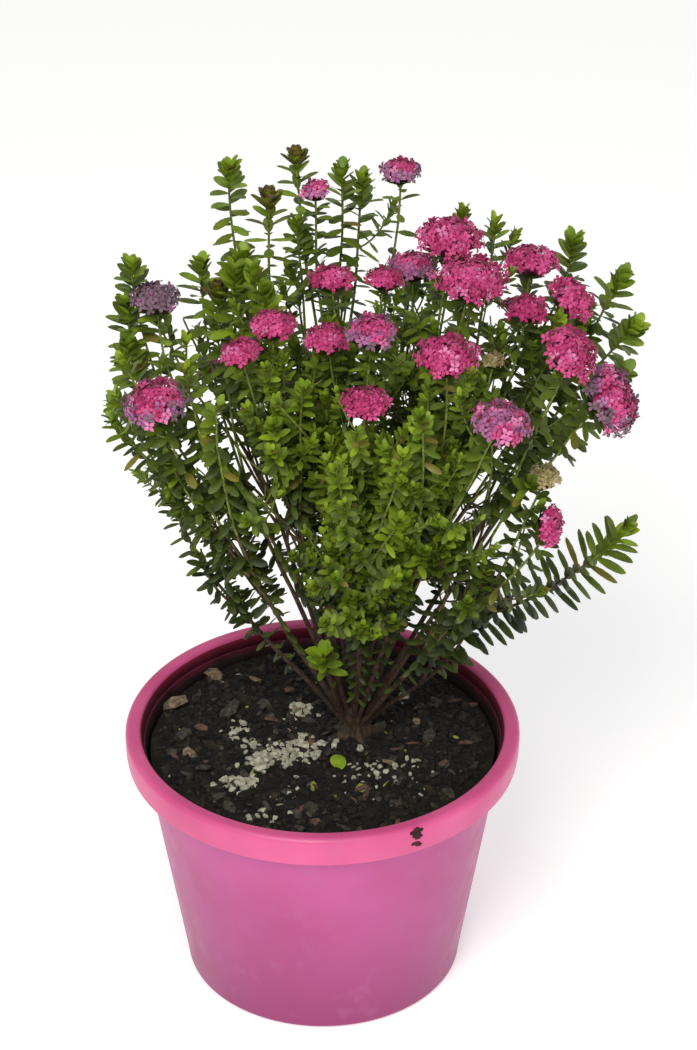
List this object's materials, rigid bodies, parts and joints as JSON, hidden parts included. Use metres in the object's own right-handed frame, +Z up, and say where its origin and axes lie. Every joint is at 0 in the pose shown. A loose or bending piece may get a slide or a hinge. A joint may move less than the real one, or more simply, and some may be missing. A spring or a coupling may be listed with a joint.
{
  "type": "potted rice flower shrub",
  "caption": "Small flowering shrub with slender leafy stems and pink domed flower heads, growing in a squat plastic nursery pot filled with potting mix.",
  "frame": {"origin": "centre of the flat underside of the pot, on the surface that it stands on", "axes": "+Z up the plant, -Z out of the pot's underside, +X to the right and -Y towards the viewer of the pot's front"},
  "size_m": [0.1859, 0.161, 0.3129],
  "materials": {
    "pot": "moulded pink polypropylene with a soft sheen, a little warmer on the collar",
    "potting_mix": "damp dark bark and peat with pale grit",
    "bark": "thin red-brown bark",
    "foliage": "small glossy leaves and pink flower heads on green twigs"
  },
  "bodies": {
    "root": {"pot": "pot", "potting_mix": "potting_mix", "main_stem": "bark", "bough_top_front": "bark", "bough_top_right": "bark", "bough_top_rear_right": "bark", "bough_top_rear": "bark", "bough_top_left": "bark", "bough_front": "bark", "bough_front_left": "bark", "bough_front_right": "bark", "bough_left": "bark", "bough_left_front": "bark", "bough_left_low": "bark", "bough_right_front": "bark", "bough_right_low": "bark", "bough_right": "bark", "bough_right_outer": "bark", "bough_right_arching": "bark", "bough_rear_right": "bark", "bough_rear_right_outer": "bark", "bough_rear": "bark", "bough_rear_left": "bark", "bough_rear_low_left": "bark", "bough_rear_low_right": "bark", "mass_top_front": "foliage", "mass_top_right": "foliage", "mass_top_rear_right": "foliage", "mass_top_rear": "foliage", "mass_top_left": "foliage", "mass_front": "foliage", "mass_front_left": "foliage", "mass_front_right": "foliage", "mass_left": "foliage", "mass_left_front": "foliage", "mass_left_low": "foliage", "mass_right_front": "foliage", "mass_right_low": "foliage", "mass_right": "foliage", "mass_right_outer": "foliage", "mass_right_arching": "foliage", "mass_rear_right": "foliage", "mass_rear_right_outer": "foliage", "mass_rear": "foliage", "mass_rear_left": "foliage", "mass_rear_low_left": "foliage", "mass_rear_low_right": "foliage"}
  },
  "joints": []
}
